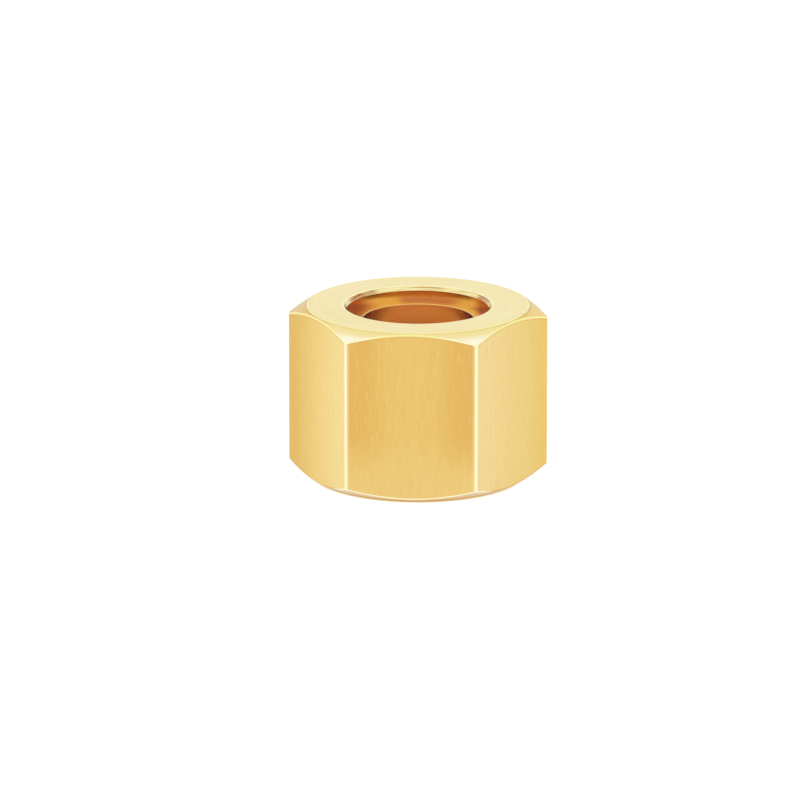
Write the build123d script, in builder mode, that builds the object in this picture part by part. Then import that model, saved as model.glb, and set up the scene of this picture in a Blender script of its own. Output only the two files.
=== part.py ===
"""Brass compression nut for 6 mm tube: 13 mm hexagon, M10 x 1 internal thread, counterbored smooth tube end.

The nut is one machined piece. Units are millimetres. The origin is the centre of the thread end's face, on the
axis of the nut. +Z runs along the axis towards the tube end, two flats face +Y and -Y, and two corners lie on X.
"""

import os
from math import radians, tan

from build123d import *

# hexagon
ACROSS_FLATS = 13.0
HEIGHT = 10.1
CORNER_ROUNDING = 0.2  # worn-in radius of the six upright corners

# turned ends of the hexagon
TUBE_FACE_RADIUS = 6.385  # flat ring left at the tube end
THREAD_FACE_RADIUS = 6.0  # flat ring left at the thread end
TUBE_CHAMFER_DEG = 28.0  # slope of the cone that cuts the corners, from the end face
THREAD_CHAMFER_DEG = 27.0
ARC_ROUNDING = 0.07  # where the cones meet the flats and the corners
FACE_ROUNDING = 0.25  # where the cones meet the end faces

# counterbored tube end, with a small chamfer at its mouth
MOUTH_RADIUS = 4.28
MOUTH_CHAMFER_DEPTH = 0.25
MOUTH_ROUNDING = 0.06
COUNTERBORE_RADIUS = 4.1
COUNTERBORE_DEPTH = 0.8
FLOOR_EDGE_BREAK = 0.05

# smooth hole that the tube passes through
TUBE_HOLE_RADIUS = 3.2

# 45 degree seat that presses on the ferrule, and the undercut where the thread tool runs out
SEAT_RADIUS = 4.3
UNDERCUT_RADIUS = 5.2
UNDERCUT_BOTTOM = 5.6
UNDERCUT_TOP = 6.6

# M10 x 1 internal thread, right-handed, drilled to 9.1 mm before tapping
THREAD_PITCH = 1.0
THREAD_ROOT_RADIUS = 5.0
THREAD_CREST_RADIUS = 4.55
THREAD_ROOT_FLAT = THREAD_PITCH / 8
THREAD_HALF_ANGLE_DEG = 30.0
THREAD_MOUTH_RADIUS = 5.2
CUTTER_OVERLAP = 0.1  # the thread cutter starts this far inside the drilled hole
THREAD_RUN_IN = 0.6  # the cut starts this far below the end face
THREAD_RUN_OUT = 0.5  # and ends this far into the undercut


def cone_drop(face_radius, slope_deg):
    """Height of a corner cone between its end face and a radius safely outside the hexagon's corners."""
    outside_radius = ACROSS_FLATS
    return (outside_radius - face_radius) * tan(radians(slope_deg))


def turned_outline():
    """Half section of everything a lathe makes: both corner cones and the whole stepped hole."""
    outside_radius = ACROSS_FLATS
    tube_cone_z = HEIGHT - cone_drop(TUBE_FACE_RADIUS, TUBE_CHAMFER_DEG)
    thread_cone_z = cone_drop(THREAD_FACE_RADIUS, THREAD_CHAMFER_DEG)
    floor_z = HEIGHT - COUNTERBORE_DEPTH
    thread_chamfer_z = THREAD_MOUTH_RADIUS - THREAD_CREST_RADIUS
    floor_edge_radius = TUBE_HOLE_RADIUS + FLOOR_EDGE_BREAK
    seat_top_z = UNDERCUT_TOP + SEAT_RADIUS - TUBE_HOLE_RADIUS
    Polyline(
        (THREAD_MOUTH_RADIUS, 0),
        (THREAD_FACE_RADIUS, 0),
        (outside_radius, thread_cone_z),
        (outside_radius, tube_cone_z),
        (TUBE_FACE_RADIUS, HEIGHT),
        (MOUTH_RADIUS, HEIGHT),
        (COUNTERBORE_RADIUS, HEIGHT - MOUTH_CHAMFER_DEPTH),
        (COUNTERBORE_RADIUS, floor_z),
        (floor_edge_radius, floor_z),
        (TUBE_HOLE_RADIUS, floor_z - FLOOR_EDGE_BREAK),
        (TUBE_HOLE_RADIUS, seat_top_z),
        (SEAT_RADIUS, UNDERCUT_TOP),
        (UNDERCUT_RADIUS, UNDERCUT_TOP),
        (UNDERCUT_RADIUS, UNDERCUT_BOTTOM),
        (THREAD_CREST_RADIUS, UNDERCUT_BOTTOM),
        (THREAD_CREST_RADIUS, thread_chamfer_z),
        close=True,
    )


def rounded_points():
    """Corners of the half section that are rounded, as radius, height and rounding."""
    return [
        (TUBE_FACE_RADIUS, HEIGHT, FACE_ROUNDING),
        (THREAD_FACE_RADIUS, 0, FACE_ROUNDING),
        (MOUTH_RADIUS, HEIGHT, MOUTH_ROUNDING),
    ]


def thread_space():
    """The space between two thread crests, seen in the half section at the start of the helix."""
    inner_radius = THREAD_CREST_RADIUS - CUTTER_OVERLAP
    flank = tan(radians(THREAD_HALF_ANGLE_DEG))
    inner_half_width = THREAD_ROOT_FLAT / 2 + (THREAD_ROOT_RADIUS - inner_radius) * flank
    Polyline(
        (inner_radius, -THREAD_RUN_IN - inner_half_width),
        (THREAD_ROOT_RADIUS, -THREAD_RUN_IN - THREAD_ROOT_FLAT / 2),
        (THREAD_ROOT_RADIUS, -THREAD_RUN_IN + THREAD_ROOT_FLAT / 2),
        (inner_radius, -THREAD_RUN_IN + inner_half_width),
        close=True,
    )


with BuildPart() as hex_nut:
    with BuildSketch(Plane.XY) as hexagon:
        RegularPolygon(ACROSS_FLATS / 2, side_count=6, major_radius=False)
        fillet(hexagon.vertices(), CORNER_ROUNDING)
    extrude(amount=HEIGHT)
    with BuildSketch(Plane.XZ) as section:
        with BuildLine():
            turned_outline()
        make_face()
        for radius, z, rounding in rounded_points():
            corner = section.vertices().sort_by_distance((radius, z, 0))[0]
            fillet(corner, rounding)
    revolve(axis=Axis.Z, mode=Mode.INTERSECT)
    arcs = hex_nut.edges().filter_by(GeomType.HYPERBOLA) + hex_nut.edges().filter_by(GeomType.BSPLINE)
    fillet(arcs, ARC_ROUNDING)
    with BuildLine():
        Helix(
            pitch=THREAD_PITCH,
            height=UNDERCUT_BOTTOM + THREAD_RUN_OUT + THREAD_RUN_IN,
            radius=THREAD_CREST_RADIUS,
            center=(0, 0, -THREAD_RUN_IN),
        )
    with BuildSketch(Plane.XZ) as tooth_space:
        with BuildLine():
            thread_space()
        make_face()
    sweep(is_frenet=True, mode=Mode.SUBTRACT)

os.makedirs("parts", exist_ok=True)
hex_nut.part.label = "hex_nut"
export_step(hex_nut.part, "parts/hex_nut.step")
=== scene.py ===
"""Looks of the brass compression nut: one procedural machined-brass material, a pale floor and soft light."""

import math

import bpy
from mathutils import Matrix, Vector


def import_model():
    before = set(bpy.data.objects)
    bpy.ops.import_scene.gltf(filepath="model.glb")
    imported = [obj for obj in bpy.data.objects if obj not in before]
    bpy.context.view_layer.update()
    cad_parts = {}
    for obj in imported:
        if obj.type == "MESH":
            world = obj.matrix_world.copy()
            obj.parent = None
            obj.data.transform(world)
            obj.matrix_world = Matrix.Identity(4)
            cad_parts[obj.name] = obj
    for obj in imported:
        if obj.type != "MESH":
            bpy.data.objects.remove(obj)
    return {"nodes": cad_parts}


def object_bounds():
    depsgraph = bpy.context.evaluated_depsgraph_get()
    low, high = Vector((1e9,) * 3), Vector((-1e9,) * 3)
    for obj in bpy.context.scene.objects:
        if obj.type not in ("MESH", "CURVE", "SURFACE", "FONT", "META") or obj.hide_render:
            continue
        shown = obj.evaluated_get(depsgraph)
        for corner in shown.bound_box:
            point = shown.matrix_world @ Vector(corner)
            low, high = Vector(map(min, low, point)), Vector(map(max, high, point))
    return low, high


MM_PER_M = 1000.0

# the nut's own sizes in millimetres, used to tell its surfaces apart; heights are from the thread end
HEIGHT = 10.1
HALF_ACROSS_FLATS = 6.5
HALF_FLAT = HALF_ACROSS_FLATS * math.tan(math.radians(30.0))  # from the middle of a flat to its corners
TUBE_FACE_RADIUS = 6.385
TUBE_CONE_SLOPE = math.tan(math.radians(28.0))
THREAD_FACE_RADIUS = 6.0
THREAD_CONE_SLOPE = math.tan(math.radians(27.0))
MOUTH_RADIUS = 4.28
MOUTH_DEPTH = 0.25
COUNTERBORE_RADIUS = 4.1
LEDGE_HEIGHT = HEIGHT - 0.8
EDGE_BREAK = 0.05
TUBE_HOLE_RADIUS = 3.2
SEAT_TOP = 7.7
UNDERCUT_RADIUS = 5.2

# brass, as the colour that each machined surface reflects
TURNED_FACE = (0.890, 0.755, 0.320)
TURNED_FACE_PALE = (0.910, 0.800, 0.420)
TURNING_LINE = (0.760, 0.480, 0.030)
# painted light: the front flat paler towards the thread end
FLAT_LOW = (0.807, 0.563, 0.189)
# the darker lines of the bar's grain, also used for a painted shade line under the flats' upper edges
FLAT_STREAK_AND_SHADE = (0.700, 0.430, 0.110)
FLAT_STREAK_PALE = (0.880, 0.680, 0.300)
CONE = (0.900, 0.755, 0.340)
# painted highlight: the tube end's cone almost white towards the front and back corners
CONE_HIGHLIGHT_AT_FRONT_CORNERS = (0.975, 0.950, 0.740)
# painted shade: the tube end's cone deeper gold towards the side corners, not the same left and right
CONE_AT_LEFT_CORNER = (0.780, 0.520, 0.110)
CONE_AT_RIGHT_CORNER = (0.850, 0.590, 0.140)
CONE_SHADE = (0.680, 0.420, 0.100)
# painted shade: the thread end's cone darker, more so towards the corners
LOWER_CONE = (0.770, 0.470, 0.120)
LOWER_CONE_AT_CORNERS = (0.660, 0.360, 0.080)
# painted highlights on the rounded corners, the arcs, the tube end face's edge and the mouth's rim
EDGE_HIGHLIGHT = (0.970, 0.930, 0.620)
SOFT_EDGE_HIGHLIGHT = (0.930, 0.855, 0.370)
FACE_EDGE_HIGHLIGHT = (0.945, 0.840, 0.350)
RIM_HIGHLIGHT = (0.950, 0.890, 0.520)
MOUTH = (0.930, 0.820, 0.410)
# brown tool lines in the mouth's chamfer, also its painted shade below the rim; at its sides, painted shade
MOUTH_STREAK_AND_SHADE = (0.640, 0.330, 0.100)
MOUTH_SHADE_AT_SIDES = (0.400, 0.120, 0.025)
COUNTERBORE_WALL = (0.870, 0.450, 0.190)
# painted shade on the counterbore's wall: just below the mouth and at its sides
COUNTERBORE_WALL_TOP_SHADE = (0.720, 0.340, 0.150)
COUNTERBORE_WALL_SHADE_AT_SIDES = (0.520, 0.160, 0.040)
# painted shade on the counterbore's ledge: lighter towards the tube hole, darker at its sides
LEDGE = (0.560, 0.240, 0.055)
LEDGE_INSIDE = (0.700, 0.420, 0.100)
LEDGE_AT_SIDES = (0.500, 0.190, 0.035)
LEDGE_AT_SIDES_INSIDE = (0.680, 0.300, 0.060)
# painted highlight on the ledge's edge at the tube hole
LEDGE_EDGE_HIGHLIGHT = (0.800, 0.450, 0.120)
# painted highlight: a golden patch in the counterbore, before each side
GOLDEN_HIGHLIGHT_PATCH = (0.930, 0.650, 0.185)
TUBE_HOLE = (0.965, 0.570, 0.445)
# painted light: the tube hole paler towards its sides
TUBE_HOLE_AT_SIDES = (0.990, 0.670, 0.560)
THREAD = (0.860, 0.620, 0.240)

# painted light and shade on the front and back flats, by the distance in millimetres from the nearer corner
FRONT_FLAT_SPAN = 4.0
FRONT_FLAT = (
    (0.3, (0.746, 0.446, 0.114)),
    (1.2, (0.754, 0.456, 0.116)),
    (2.4, (0.785, 0.518, 0.150)),
    (3.7, (0.791, 0.531, 0.160)),
)

# painted light and shade on the other flats, not the same left and right, by the share of the way from the
# side corner to the front or back corner
SIDE_FLAT_SPAN = 1.0
LEFT_FLAT = (
    (0.10, (0.713, 0.433, 0.073)),
    (0.33, (0.770, 0.521, 0.121)),
    (0.55, (0.828, 0.588, 0.173)),
    (0.87, (0.853, 0.668, 0.243)),
)
RIGHT_FLAT = (
    (0.10, (0.787, 0.534, 0.135)),
    (0.27, (0.794, 0.579, 0.184)),
    (0.66, (0.826, 0.619, 0.241)),
    (0.89, (0.835, 0.640, 0.279)),
)

# fine marks, as features per millimetre along X, Y and Z
STREAKS_PER_MM = (9.0, 9.0, 0.9)
DASHES_PER_MM = (13.0, 13.0, 1.6)
CLOUDS_PER_MM = (0.45, 0.45, 0.45)
RINGS_PER_MM = 9.0
LEAST_ROUGHNESS = 0.14
MARK_ROUGHNESS = 0.14
BUMP_STRENGTH = 0.6
BUMP_DISTANCE_M = 0.000002

# studio: the floor glows, so that it reads as a white sweep without a shadow
FLOOR_HALF_M = 1.5
FLOOR_GREY = (0.12, 0.12, 0.12)
FLOOR_GLOW = 0.95
WHITE = (1.0, 1.0, 1.0)
# painted bounce light: the floor's glow brass-tinted under the thread end's face
BRASS_BOUNCE_GLOW = (0.70, 0.50, 0.22)
HORIZON_LIGHT = 0.85

# camera: long lens from slightly above, a little to the right of the front flat's normal
CAMERA_AZIMUTH_DEG = 3.7
CAMERA_ELEVATION_DEG = 15.5
CAMERA_DISTANCE_M = 0.52
LENS_MM = 404.8
SENSOR_MM = 36.0
AIM_RIGHT_M = -0.00104  # the nut sits right of the picture's middle
AIM_UP_M = -0.00064  # and a little above it


# ---------------------------------------------------------------- node helpers


class Nodes:
    """Short calls that add shader nodes to one node tree and wire them up."""

    def __init__(self, tree):
        self.tree = tree

    def add(self, kind, **settings):
        node = self.tree.nodes.new(kind)
        for name, value in settings.items():
            setattr(node, name, value)
        return node

    def feed(self, socket, value):
        if isinstance(value, bpy.types.NodeSocket):
            self.tree.links.new(value, socket)
        elif isinstance(value, tuple) and socket.type == "RGBA":
            socket.default_value = (*value, 1.0)
        else:
            socket.default_value = value

    def math(self, operation, a, b=None, c=None):
        node = self.add("ShaderNodeMath", operation=operation)
        self.feed(node.inputs[0], a)
        if b is not None:
            self.feed(node.inputs[1], b)
        if c is not None:
            self.feed(node.inputs[2], c)
        return node.outputs[0]

    def product(self, *factors):
        result = factors[0]
        for factor in factors[1:]:
            result = self.math("MULTIPLY", result, factor)
        return result

    def larger(self, *values):
        result = values[0]
        for value in values[1:]:
            result = self.math("MAXIMUM", result, value)
        return result

    def inverse(self, value):
        return self.math("SUBTRACT", 1.0, value)

    def rise(self, value, low, high, to_low=0.0, to_high=1.0):
        """Smooth step from to_low at low to to_high at high."""
        node = self.add("ShaderNodeMapRange", interpolation_type="SMOOTHSTEP")
        for name, number in (("From Min", low), ("From Max", high), ("To Min", to_low), ("To Max", to_high)):
            self.feed(node.inputs[name], number)
        self.feed(node.inputs["Value"], value)
        return node.outputs["Result"]

    def fall(self, value, low, high):
        """1 below low, 0 above high."""
        return self.rise(value, low, high, 1.0, 0.0)

    def hump(self, value, start, full, fade, end):
        """1 between full and fade, 0 outside start and end."""
        return self.product(self.rise(value, start, full), self.fall(value, fade, end))

    def split(self, vector):
        node = self.add("ShaderNodeSeparateXYZ")
        self.feed(node.inputs[0], vector)
        return node.outputs

    def vector(self, x, y, z):
        node = self.add("ShaderNodeCombineXYZ")
        for socket, value in zip(node.inputs, (x, y, z)):
            self.feed(socket, value)
        return node.outputs[0]

    def stretch(self, vector, factors):
        node = self.add("ShaderNodeVectorMath", operation="MULTIPLY")
        self.feed(node.inputs[0], vector)
        self.feed(node.inputs[1], factors)
        return node.outputs[0]

    def noise(self, vector, detail=2.0, roughness=0.5):
        node = self.add("ShaderNodeTexNoise", noise_dimensions="3D")
        self.feed(node.inputs["Vector"], vector)
        node.inputs["Scale"].default_value = 1.0
        node.inputs["Detail"].default_value = detail
        node.inputs["Roughness"].default_value = roughness
        return node.outputs["Fac"]

    def gradient(self, value, stops, span):
        """Colours at places along a value that runs from 0 to span."""
        node = self.add("ShaderNodeValToRGB")
        elements = node.color_ramp.elements
        while len(elements) < len(stops):
            elements.new(0.5)
        for element, (place, colour) in zip(elements, stops):
            element.position = place / span
            element.color = (*colour, 1.0)
        self.feed(node.inputs["Fac"], self.math("DIVIDE", value, span))
        return node.outputs["Color"]

    def blend(self, factor, first, second):
        node = self.add("ShaderNodeMix", data_type="RGBA")
        self.feed(node.inputs["Factor"], factor)
        for socket, value in zip([s for s in node.inputs if s.type == "RGBA"], (first, second)):
            self.feed(socket, value)
        return [s for s in node.outputs if s.type == "RGBA"][0]


# ---------------------------------------------------------------- where each surface is


class Surface:
    """Where a point of the nut is, and how much it belongs to each machined surface."""

    def __init__(self, n):
        coords = n.add("ShaderNodeTexCoord")
        self.place = n.stretch(coords.outputs["Object"], (MM_PER_M, MM_PER_M, MM_PER_M))
        self.x, self.y, self.z = n.split(self.place)
        self.depth = n.math("SUBTRACT", HEIGHT, self.z)
        self.radius = n.math("SQRT", n.math("MULTIPLY_ADD", self.x, self.x, n.product(self.y, self.y)))
        self.out_x = n.math("DIVIDE", self.x, self.radius)
        self.out_y = n.math("DIVIDE", self.y, self.radius)
        self.sideness = n.math("ABSOLUTE", self.out_x)

        normal_x, normal_y, normal_z = n.split(coords.outputs["Normal"])
        steepness = n.math("ABSOLUTE", normal_z)
        upper = n.rise(self.z, HEIGHT / 2 - 1.0, HEIGHT / 2 + 1.0)
        self.find_flats(n, normal_x, normal_y, steepness)
        self.find_ends(n, steepness, upper)
        self.find_bores(n, steepness)

    def find_flats(self, n, normal_x, normal_y, steepness):
        """The flats, the rounded corners between them, and places along a flat."""
        self.outside = n.rise(self.radius, HALF_ACROSS_FLATS - 0.2, HALF_ACROSS_FLATS - 0.1)
        self.flat = n.product(self.outside, n.fall(steepness, 0.03, 0.10))
        self.is_front_flat = n.fall(n.math("ABSOLUTE", normal_x), 0.2, 0.4)
        self.is_right = n.rise(self.x, -0.5, 0.5)

        # 0 at the two side corners, 1 at the four others
        self.frontness = n.math("DIVIDE", n.math("ABSOLUTE", self.y), HALF_ACROSS_FLATS)

        # distance along a flat from its nearer corner
        bearing = n.math("DEGREES", n.math("ARCTAN2", self.y, self.x))
        off_middle = n.math("PINGPONG", n.math("ADD", bearing, 330.0), 30.0)
        across = n.product(self.radius, n.math("SINE", n.math("RADIANS", off_middle)))
        self.from_corner = n.math("SUBTRACT", HALF_FLAT, across)

        # 0 where the surface faces as a flat does, 30 where it faces as a corner does
        heading = n.math("DEGREES", n.math("ARCTAN2", normal_y, normal_x))
        off_flat = n.math("PINGPONG", n.math("ADD", heading, 330.0), 30.0)
        self.corner = n.product(self.flat, n.rise(off_flat, 2.0, 22.0))

    def find_ends(self, n, steepness, upper):
        """The cones at both ends, and the rounded edges where they meet the flats and the tube end's face."""
        lower = n.inverse(upper)
        tube_cone_top = HEIGHT + TUBE_FACE_RADIUS * TUBE_CONE_SLOPE
        tube_cone_z = n.math("MULTIPLY_ADD", self.radius, -TUBE_CONE_SLOPE, tube_cone_top)
        self.below_cone = n.math("SUBTRACT", tube_cone_z, self.z)
        thread_cone_tip = -THREAD_FACE_RADIUS * THREAD_CONE_SLOPE
        thread_cone_z = n.math("MULTIPLY_ADD", self.radius, THREAD_CONE_SLOPE, thread_cone_tip)
        self.above_cone = n.math("SUBTRACT", self.z, thread_cone_z)

        beyond_thread_face = n.rise(self.radius, THREAD_FACE_RADIUS, THREAD_FACE_RADIUS + 0.1)
        cone = n.product(beyond_thread_face, n.hump(steepness, 0.60, 0.75, 0.93, 0.96))
        self.upper_cone = n.product(cone, upper)
        self.lower_cone = n.product(cone, lower)

        arc = n.product(self.outside, n.hump(steepness, 0.05, 0.15, 0.60, 0.75))
        upper_line = n.product(self.flat, n.fall(self.below_cone, 0.08, 0.13))
        lower_line = n.product(self.flat, n.fall(self.above_cone, 0.04, 0.09))
        self.upper_edge = n.larger(n.product(arc, upper), upper_line)
        self.lower_edge = n.larger(n.product(arc, lower), lower_line)

        near_face_edge = n.rise(self.radius, TUBE_FACE_RADIUS - 0.285, TUBE_FACE_RADIUS - 0.185)
        self.face_edge = n.product(near_face_edge, n.hump(steepness, 0.90, 0.93, 0.995, 0.9995), upper)

    def find_bores(self, n, steepness):
        """From the top down: the mouth, the counterbore's wall and ledge, the tube hole and the thread."""
        above_wall = n.fall(self.depth, MOUTH_DEPTH - 0.01, MOUTH_DEPTH + 0.01)
        self.mouth = n.product(above_wall, n.fall(self.radius, MOUTH_RADIUS + 0.04, MOUTH_RADIUS + 0.12))

        in_counterbore = n.fall(self.radius, COUNTERBORE_RADIUS + 0.05, COUNTERBORE_RADIUS + 0.10)
        in_counterbore = n.product(in_counterbore, n.inverse(above_wall))
        above_seat = n.rise(self.z, SEAT_TOP + 0.3, SEAT_TOP + 0.4)
        self.ledge = n.product(in_counterbore, n.rise(steepness, 0.3, 0.9), above_seat)
        above_ledge = n.rise(self.z, LEDGE_HEIGHT - 0.01, LEDGE_HEIGHT)
        self.wall = n.product(in_counterbore, n.inverse(self.ledge), above_ledge)

        hole_top = LEDGE_HEIGHT - EDGE_BREAK
        hole_edge = TUBE_HOLE_RADIUS + EDGE_BREAK
        above_hole = n.rise(self.z, hole_top - 0.01, hole_top + 0.01)
        self.ledge_edge = n.product(n.fall(self.radius, hole_edge, hole_edge + 0.02), above_hole)
        in_hole = n.fall(self.radius, hole_edge - 0.01, hole_edge + 0.01)
        self.tube_hole = n.product(in_hole, n.inverse(above_hole))
        in_thread = n.fall(self.radius, UNDERCUT_RADIUS + 0.01, UNDERCUT_RADIUS + 0.05)
        self.thread = n.product(in_thread, n.fall(self.z, SEAT_TOP - 0.1, SEAT_TOP + 0.1))


# ---------------------------------------------------------------- brass


def flat_colour(n, s, streaks):
    """Drawn flats: painted light and shade, deeper towards some corners and paler near the thread end, a
    painted shade line under the upper edge and a painted highlight beside the front and back corners, with
    fine lines along the bar.
    """
    dashes = n.noise(n.stretch(s.place, DASHES_PER_MM), 1.0)
    front = n.gradient(s.from_corner, FRONT_FLAT, FRONT_FLAT_SPAN)
    front = n.blend(n.fall(s.z, 0.8, 4.4), front, FLAT_LOW)
    left = n.gradient(s.frontness, LEFT_FLAT, SIDE_FLAT_SPAN)
    right = n.gradient(s.frontness, RIGHT_FLAT, SIDE_FLAT_SPAN)
    colour = n.blend(s.is_front_flat, n.blend(s.is_right, left, right), front)
    colour = n.blend(n.rise(streaks, 0.48, 0.75, 0.0, 0.28), colour, FLAT_STREAK_AND_SHADE)
    colour = n.blend(n.rise(dashes, 0.50, 0.75, 0.0, 0.18), colour, FLAT_STREAK_PALE)
    # painted shade line just under the upper edge
    shade_under_edge = n.product(n.hump(s.below_cone, 0.09, 0.13, 0.15, 0.23), 0.5)
    colour = n.blend(shade_under_edge, colour, FLAT_STREAK_AND_SHADE)
    # painted highlight beside the front and back corners
    glow = n.product(n.fall(s.from_corner, 0.08, 0.26), n.rise(s.frontness, 0.5, 0.9), 0.45)
    return n.blend(glow, colour, EDGE_HIGHLIGHT)


def end_face_colour(n, s, rings):
    """Turned end faces: cloudy, with faint rings. Whatever has no colour of its own has this one."""
    clouds = n.noise(n.stretch(s.place, CLOUDS_PER_MM), 2.0)
    colour = n.blend(n.rise(clouds, 0.35, 0.70, 0.0, 0.5), TURNED_FACE, TURNED_FACE_PALE)
    return n.blend(n.rise(rings, 0.50, 0.80, 0.0, 0.35), colour, TURNING_LINE)


def upper_cone_colour(n, s):
    """Cone at the tube end: a painted highlight, almost white, at the front and back corners, painted shade
    of deeper gold at the side ones, and a painted shade line beside the face.
    """
    towards_corner = n.rise(s.radius, HALF_ACROSS_FLATS + 0.2, HALF_ACROSS_FLATS + 0.8)
    front = n.blend(towards_corner, CONE, CONE_HIGHLIGHT_AT_FRONT_CORNERS)
    side = n.blend(s.is_right, CONE_AT_LEFT_CORNER, CONE_AT_RIGHT_CORNER)
    colour = n.blend(n.rise(s.frontness, 0.2, 0.8), side, front)
    shade_beside_face = n.fall(s.radius, TUBE_FACE_RADIUS + 0.075, TUBE_FACE_RADIUS + 0.235)
    shade_beside_face = n.product(shade_beside_face, n.rise(s.frontness, 0.45, 0.75, 0.85, 0.22))
    return n.blend(shade_beside_face, colour, CONE_SHADE)


def outside_colour(n, s, streaks, rings):
    """Faces, flats and cones, with painted highlights on their corners and edges."""
    colour = n.blend(s.flat, end_face_colour(n, s, rings), flat_colour(n, s, streaks))
    colour = n.blend(s.upper_cone, colour, upper_cone_colour(n, s))
    # painted shade on the thread end's cone, darker towards the corners
    towards_corner = n.rise(s.radius, THREAD_FACE_RADIUS + 0.3, THREAD_FACE_RADIUS + 0.9)
    lower_cone = n.blend(towards_corner, LOWER_CONE, LOWER_CONE_AT_CORNERS)
    colour = n.blend(s.lower_cone, colour, lower_cone)

    # painted highlights on the corners, the arcs and the face's edge; the lower arcs away from the front take
    # the thread end cone's painted shade
    corner = n.product(s.corner, n.rise(s.frontness, 0.1, 0.8, 0.25, 1.0))
    colour = n.blend(corner, colour, EDGE_HIGHLIGHT)
    along_front = n.rise(s.frontness, 0.7, 0.95)
    near_front_corner = n.product(along_front, n.fall(s.from_corner, 1.0, 2.4))
    colour = n.blend(s.upper_edge, colour, n.blend(near_front_corner, SOFT_EDGE_HIGHLIGHT, EDGE_HIGHLIGHT))
    colour = n.blend(s.lower_edge, colour, n.blend(along_front, lower_cone, EDGE_HIGHLIGHT))
    return n.blend(s.face_edge, colour, FACE_EDGE_HIGHLIGHT)


def mouth_colour(n, s):
    """Small chamfer at the mouth: pale, with brown lines around it where the tool rubbed, a band of painted
    shade below the rim at the front and back, painted shade at its sides and a painted highlight on the rim.
    """
    rubbed = n.noise(n.vector(n.product(s.out_x, 4.0), n.product(s.out_y, 4.0), n.product(s.z, 15.0)), 2.0)
    line = n.rise(rubbed, 0.46, 0.62)
    # painted shade band below the rim, at the front and back
    below_rim = n.hump(s.depth, 0.04, 0.07, 0.10, 0.14)
    below_rim = n.product(below_rim, n.hump(s.out_x, -0.30, 0.0, 0.20, 0.40))
    streak_and_shade = n.larger(n.product(line, 0.35), n.product(below_rim, 0.9))
    colour = n.blend(streak_and_shade, MOUTH, MOUTH_STREAK_AND_SHADE)
    # painted shade at the chamfer's sides
    left = n.hump(s.out_x, -1.0, -0.93, -0.72, -0.58)
    right = n.hump(s.out_x, 0.76, 0.84, 0.92, 1.0)
    sides = n.product(n.larger(left, right), n.math("MULTIPLY_ADD", line, 0.4, 0.6))
    colour = n.blend(sides, colour, MOUTH_SHADE_AT_SIDES)
    # painted highlight on the rim
    return n.blend(n.fall(s.depth, 0.02, 0.04), colour, RIM_HIGHLIGHT)


def counterbore_colour(n, s, middle, sides):
    """Counterbore: coppery, with painted shade at its sides and a painted golden highlight before each."""
    colour = n.blend(n.rise(s.sideness, 0.62, 0.95), middle, sides)
    left = n.hump(s.out_x, -0.86, -0.58, -0.42, -0.20)
    right = n.hump(s.out_x, 0.36, 0.62, 0.70, 0.86)
    near_hole = n.fall(s.radius, TUBE_HOLE_RADIUS + 0.25, TUBE_HOLE_RADIUS + 0.8)
    right_near_hole = n.product(n.hump(s.out_x, 0.60, 0.80, 0.97, 1.0), near_hole)
    highlight_patch = n.product(n.larger(left, right, right_near_hole), 0.75)
    return n.blend(highlight_patch, colour, GOLDEN_HIGHLIGHT_PATCH)


def wall_colour(n, s):
    """Counterbore's wall: painted shade just below the mouth."""
    top_shade = n.fall(s.depth, MOUTH_DEPTH + 0.01, MOUTH_DEPTH + 0.13)
    top_shade = n.product(top_shade, n.fall(s.sideness, 0.15, 0.45))
    middle = n.blend(top_shade, COUNTERBORE_WALL, COUNTERBORE_WALL_TOP_SHADE)
    return counterbore_colour(n, s, middle, COUNTERBORE_WALL_SHADE_AT_SIDES)


def ledge_colour(n, s):
    """Counterbore's ledge: painted shade, lighter towards the tube hole."""
    inside = n.fall(s.radius, TUBE_HOLE_RADIUS, COUNTERBORE_RADIUS)
    middle = n.blend(inside, LEDGE, LEDGE_INSIDE)
    sides = n.blend(inside, LEDGE_AT_SIDES, LEDGE_AT_SIDES_INSIDE)
    return counterbore_colour(n, s, middle, sides)


def add_bores(n, s, colour):
    """The given colour outside, and each bore's own colour inside."""
    colour = n.blend(s.mouth, colour, mouth_colour(n, s))
    colour = n.blend(s.wall, colour, wall_colour(n, s))
    colour = n.blend(s.ledge, colour, ledge_colour(n, s))
    colour = n.blend(s.thread, colour, THREAD)
    # painted light: the tube hole paler towards its sides
    tube_hole = n.blend(n.rise(s.sideness, 0.40, 0.85), TUBE_HOLE, TUBE_HOLE_AT_SIDES)
    colour = n.blend(s.tube_hole, colour, tube_hole)
    # painted highlight on the ledge's edge
    return n.blend(s.ledge_edge, colour, LEDGE_EDGE_HIGHLIGHT)


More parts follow.
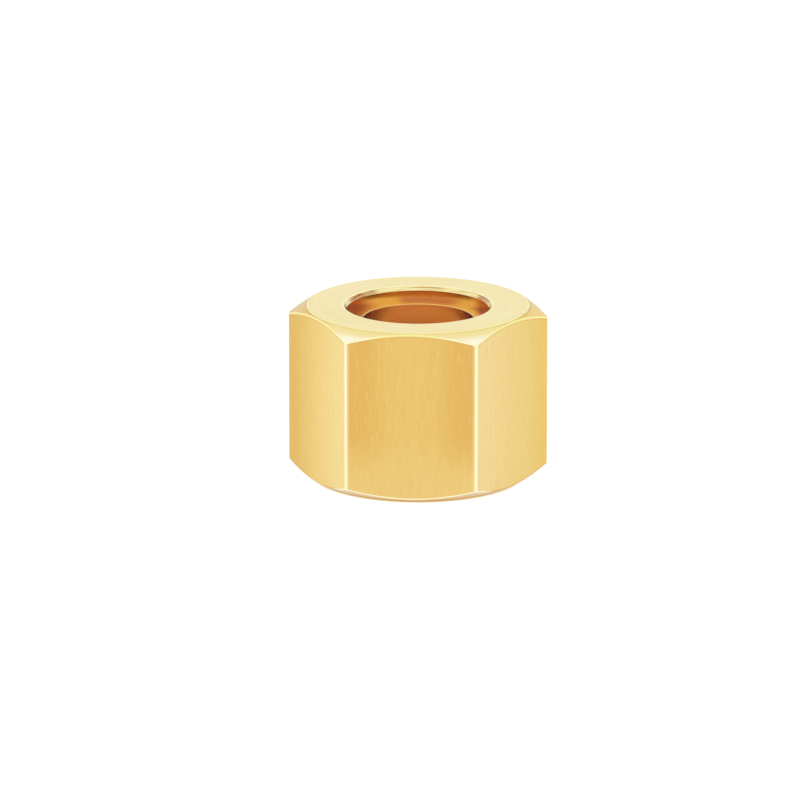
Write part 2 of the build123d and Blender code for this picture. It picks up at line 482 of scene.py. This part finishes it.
def brass_material():
    """Machined brass: drawn lines on the flats, turning rings on the faces, painted highlights on the edges
    and painted light and shade on most surfaces.
    """
    material = bpy.data.materials.new("machined_brass")
    material.use_nodes = True
    material.node_tree.nodes.clear()
    n = Nodes(material.node_tree)
    s = Surface(n)

    streaks = n.noise(n.stretch(s.place, STREAKS_PER_MM), 3.0, 0.6)
    around = n.product(s.out_x, 0.7)
    rings = n.vector(n.product(s.radius, RINGS_PER_MM), n.product(s.z, RINGS_PER_MM), around)
    rings = n.noise(rings, 3.0, 0.6)
    colour = add_bores(n, s, outside_colour(n, s, streaks, rings))
    marks = n.blend(s.flat, rings, streaks)

    shader = n.add("ShaderNodeBsdfPrincipled")
    n.feed(shader.inputs["Base Color"], colour)
    shader.inputs["Metallic"].default_value = 1.0
    n.feed(shader.inputs["Roughness"], n.math("MULTIPLY_ADD", marks, MARK_ROUGHNESS, LEAST_ROUGHNESS))
    bump = n.add("ShaderNodeBump")
    bump.inputs["Strength"].default_value = BUMP_STRENGTH
    bump.inputs["Distance"].default_value = BUMP_DISTANCE_M
    n.feed(bump.inputs["Height"], marks)
    n.feed(shader.inputs["Normal"], bump.outputs[0])
    out = n.add("ShaderNodeOutputMaterial")
    n.feed(out.inputs["Surface"], shader.outputs[0])
    return material


# ---------------------------------------------------------------- studio


def floor_material():
    """White floor, brass-tinted only under the thread end's face: painted bounce light, as light between the
    two would make it.
    """
    material = bpy.data.materials.new("floor_white")
    material.use_nodes = True
    shader = material.node_tree.nodes["Principled BSDF"]
    shader.inputs["Roughness"].default_value = 1.0
    shader.inputs["Specular IOR Level"].default_value = 0.0
    shader.inputs["Emission Strength"].default_value = FLOOR_GLOW
    n = Nodes(material.node_tree)
    n.feed(shader.inputs["Base Color"], FLOOR_GREY)
    place = n.stretch(n.add("ShaderNodeTexCoord").outputs["Object"], (MM_PER_M, MM_PER_M, 0.0))
    from_axis = n.add("ShaderNodeVectorMath", operation="LENGTH")
    n.feed(from_axis.inputs[0], place)
    edge = THREAD_FACE_RADIUS
    # painted bounce light: a brass-tinted glow of the floor under the thread end's face
    under_face = n.hump(from_axis.outputs["Value"], edge - 0.8, edge - 0.5, edge + 0.05, edge + 0.25)
    n.feed(shader.inputs["Emission Color"], n.blend(under_face, WHITE, BRASS_BOUNCE_GLOW))
    return material


def floor():
    """Plain pale floor under the nut."""
    half = FLOOR_HALF_M
    mesh = bpy.data.meshes.new("floor")
    corners = [(-half, -half, 0), (half, -half, 0), (half, half, 0), (-half, half, 0)]
    mesh.from_pydata(corners, [], [(0, 1, 2, 3)])
    mesh.materials.append(floor_material())
    plane = bpy.data.objects.new("floor", mesh)
    bpy.context.scene.collection.objects.link(plane)


def world_light():
    """A white tent, a little darker just above the floor."""
    world = bpy.data.worlds.new("studio")
    world.use_nodes = True
    n = Nodes(world.node_tree)
    background = world.node_tree.nodes["Background"]
    n.feed(background.inputs["Color"], WHITE)
    height = n.split(n.add("ShaderNodeTexCoord").outputs["Generated"])[2]
    n.feed(background.inputs["Strength"], n.rise(height, 0.03, 0.2, HORIZON_LIGHT, 1.0))
    bpy.context.scene.world = world


def sphere_direction(azimuth_deg, elevation_deg):
    """Unit vector from the nut towards a place given by azimuth (0 is in front, along -Y) and elevation."""
    azimuth = math.radians(azimuth_deg)
    elevation = math.radians(elevation_deg)
    return Vector(
        (
            math.sin(azimuth) * math.cos(elevation),
            -math.cos(azimuth) * math.cos(elevation),
            math.sin(elevation),
        )
    )


def camera(centre):
    """Camera at the photo's angle, aimed so that the nut sits where it does in the photo."""
    data = bpy.data.cameras.new("camera")
    data.lens = LENS_MM
    data.sensor_width = SENSOR_MM
    data.clip_start = 0.01
    data.clip_end = 10.0
    cam = bpy.data.objects.new("camera", data)
    back = sphere_direction(CAMERA_AZIMUTH_DEG, CAMERA_ELEVATION_DEG)
    turn = (-back).to_track_quat("-Z", "Y")
    right = turn @ Vector((1, 0, 0))
    up = turn @ Vector((0, 1, 0))
    cam.location = centre + right * AIM_RIGHT_M + up * AIM_UP_M + back * CAMERA_DISTANCE_M
    cam.rotation_euler = turn.to_euler()
    bpy.context.scene.collection.objects.link(cam)
    bpy.context.scene.camera = cam


def main():
    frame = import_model()
    cad_low, cad_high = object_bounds()
    nut = frame["nodes"]["hex_nut"]
    nut.data.materials[0] = brass_material()

    floor()
    world_light()
    camera((cad_low + cad_high) / 2)

    scene = bpy.context.scene
    scene.view_settings.view_transform = "Standard"
    scene.view_settings.look = "None"


main()
